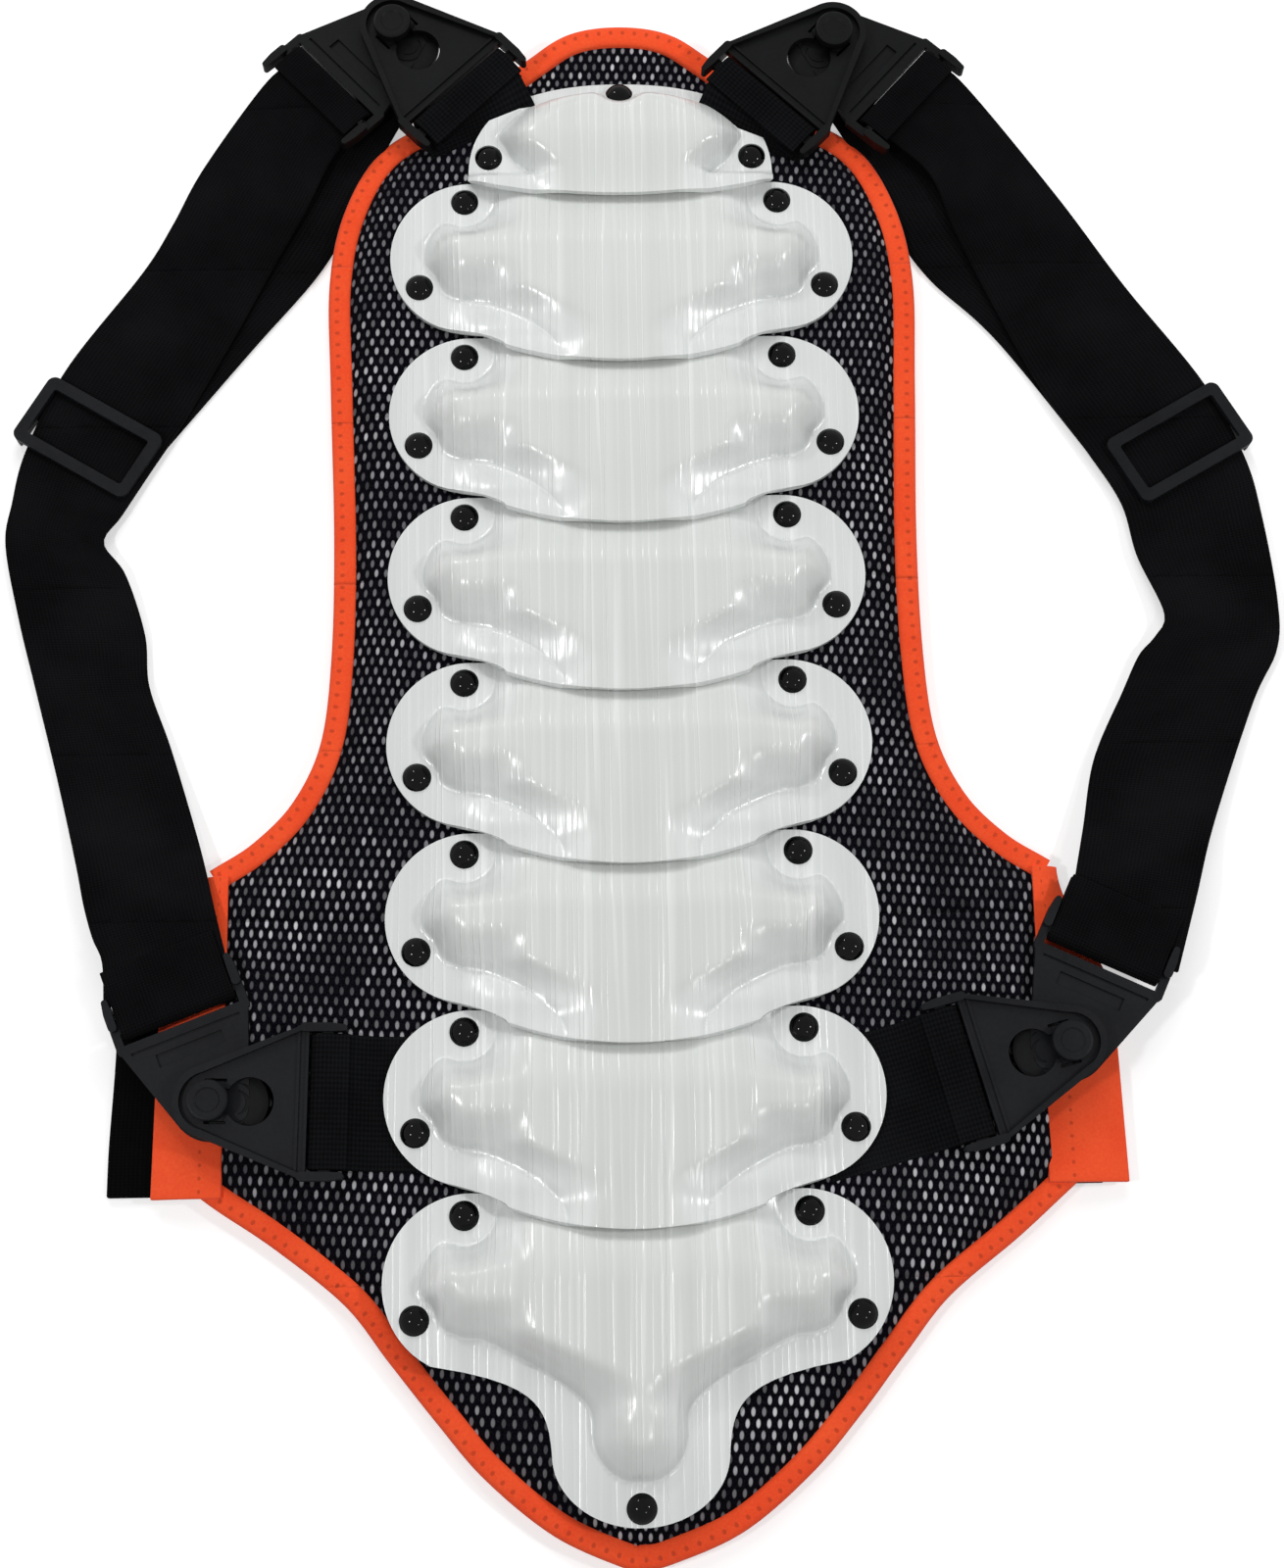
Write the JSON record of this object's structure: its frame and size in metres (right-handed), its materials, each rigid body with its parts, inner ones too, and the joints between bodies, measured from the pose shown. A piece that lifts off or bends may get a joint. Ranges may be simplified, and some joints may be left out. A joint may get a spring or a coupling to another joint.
{
  "type": "back protector",
  "caption": "Flexible back protector with overlapping riveted shell plates on a padded mesh panel, elastic shoulder straps with adjusters and keyhole buckles.",
  "frame": {"origin": "middle of the waist section's back face, where the folded waist belt rests on the surface", "axes": "+Y along the spine towards the neck, +Z away from the wearer's back, +X to the right as seen from behind the wearer"},
  "size_m": [0.4313, 0.533, 0.0238],
  "materials": {
    "shell": "satin white moulded plastic with a fine lengthwise grain",
    "rivet": "glossy black domed rivet",
    "air_mesh": "black spacer mesh over foam with pale knit showing through",
    "binding": "bright orange woven binding tape, stitched",
    "elastic": "black ribbed elastic",
    "webbing": "black woven webbing",
    "belt": "black elastic waist belt",
    "buckle": "dark grey moulded nylon"
  },
  "bodies": {
    "section_1": {"plate_1": "shell", "rivets_1": "rivet", "pad_1": "air_mesh", "binding_1": "binding", "shoulder_webbing": "webbing"},
    "section_2": {"plate_2": "shell", "rivets_2": "rivet", "pad_2": "air_mesh", "binding_2": "binding", "straps_2": "elastic"},
    "section_3": {"plate_3": "shell", "rivets_3": "rivet", "pad_3": "air_mesh", "binding_3": "binding", "straps_3": "elastic"},
    "section_4": {"plate_4": "shell", "rivets_4": "rivet", "pad_4": "air_mesh", "binding_4": "binding", "straps_4": "elastic"},
    "section_5": {"plate_5": "shell", "rivets_5": "rivet", "pad_5": "air_mesh", "binding_5": "binding", "straps_5": "elastic"},
    "section_6": {"plate_6": "shell", "rivets_6": "rivet", "pad_6": "air_mesh", "binding_6": "binding", "straps_6": "elastic"},
    "section_7": {"plate_7": "shell", "rivets_7": "rivet", "pad_7": "air_mesh", "side_tabs": "binding", "waist_webbing": "webbing", "waist_belt": "belt"},
    "section_8": {"plate_8": "shell", "rivets_8": "rivet", "pad_8": "air_mesh", "binding_8": "binding"},
    "keyhole_waist_left": {"keyhole_plate_waist_left": "buckle"},
    "stud_waist_left": {"stud_plate_waist_left": "buckle", "strap_end_waist_left": "elastic"},
    "keyhole_waist_right": {"keyhole_plate_waist_right": "buckle"},
    "stud_waist_right": {"stud_plate_waist_right": "buckle", "strap_end_waist_right": "elastic"},
    "keyhole_shoulder_left": {"keyhole_plate_shoulder_left": "buckle"},
    "stud_shoulder_left": {"stud_plate_shoulder_left": "buckle", "strap_end_shoulder_left": "elastic"},
    "keyhole_shoulder_right": {"keyhole_plate_shoulder_right": "buckle"},
    "stud_shoulder_right": {"stud_plate_shoulder_right": "buckle", "strap_end_shoulder_right": "elastic"},
    "adjuster_left": {"adjuster_left": "buckle"},
    "adjuster_right": {"adjuster_right": "buckle"}
  },
  "joints": [
    {"name": "spine_flex_6", "type": "hinge", "parent": "section_7", "child": "section_6", "pos_m": [0, 0.029, 0], "axis": [-1, 0, 0], "range_deg": [0, 7], "stiffness_Nm_per_rad": 1},
    {"name": "spine_flex_5", "type": "hinge", "parent": "section_6", "child": "section_5", "pos_m": [0, 0.087, 0], "axis": [-1, 0, 0], "range_deg": [0, 7], "stiffness_Nm_per_rad": 1},
    {"name": "spine_flex_4", "type": "hinge", "parent": "section_5", "child": "section_4", "pos_m": [0, 0.145, 0], "axis": [-1, 0, 0], "range_deg": [0, 7], "stiffness_Nm_per_rad": 1},
    {"name": "spine_flex_3", "type": "hinge", "parent": "section_4", "child": "section_3", "pos_m": [0, 0.203, 0], "axis": [-1, 0, 0], "range_deg": [0, 7], "stiffness_Nm_per_rad": 1},
    {"name": "spine_flex_2", "type": "hinge", "parent": "section_3", "child": "section_2", "pos_m": [0, 0.261, 0], "axis": [-1, 0, 0], "range_deg": [0, 7], "stiffness_Nm_per_rad": 1},
    {"name": "spine_flex_1", "type": "hinge", "parent": "section_2", "child": "section_1", "pos_m": [0, 0.319, 0], "axis": [-1, 0, 0], "range_deg": [0, 7], "stiffness_Nm_per_rad": 1},
    {"name": "spine_flex_7", "type": "hinge", "parent": "section_7", "child": "section_8", "pos_m": [0, -0.029, 0], "axis": [1, 0, 0], "range_deg": [0, 7], "stiffness_Nm_per_rad": 1},
    {"name": "waist_left_unlatch", "type": "slide", "parent": "section_7", "child": "keyhole_waist_left", "axis": [-0.9998, 0.0175, 0], "range_m": [0, 0.0125]},
    {"name": "waist_left_swivel", "type": "hinge", "parent": "section_7", "child": "stud_waist_left", "pos_m": [-0.1346, -0.0003, 0.0104], "axis": [0, 0, 1], "range_deg": [-20, 20]},
    {"name": "waist_right_unlatch", "type": "slide", "parent": "section_7", "child": "keyhole_waist_right", "axis": [0.9659, 0.2588, 0], "range_m": [0, 0.0125]},
    {"name": "waist_right_swivel", "type": "hinge", "parent": "section_7", "child": "stud_waist_right", "pos_m": [0.1391, 0.0146, 0.0104], "axis": [0, 0, 1], "range_deg": [-20, 20]},
    {"name": "shoulder_left_unlatch", "type": "slide", "parent": "section_1", "child": "keyhole_shoulder_left", "axis": [-0.6947, 0.7193, 0], "range_m": [0, 0.0125]},
    {"name": "shoulder_left_swivel", "type": "hinge", "parent": "section_1", "child": "stud_shoulder_left", "pos_m": [-0.0795, 0.3772, 0.0104], "axis": [0, 0, 1], "range_deg": [-20, 12]},
    {"name": "shoulder_right_unlatch", "type": "slide", "parent": "section_1", "child": "keyhole_shoulder_right", "axis": [0.6947, 0.7193, 0], "range_m": [0, 0.0125]},
    {"name": "shoulder_right_swivel", "type": "hinge", "parent": "section_1", "child": "stud_shoulder_right", "pos_m": [0.0759, 0.3733, 0.0104], "axis": [0, 0, 1], "range_deg": [-12, 20]},
    {"name": "adjuster_left_slide", "type": "slide", "parent": "section_3", "child": "adjuster_left", "axis": [0.515, 0.8572, 0], "range_m": [0, 0.01]},
    {"name": "adjuster_right_slide", "type": "slide", "parent": "section_3", "child": "adjuster_right", "axis": [-0.4955, 0.8686, 0], "range_m": [0, 0.01]}
  ]
}
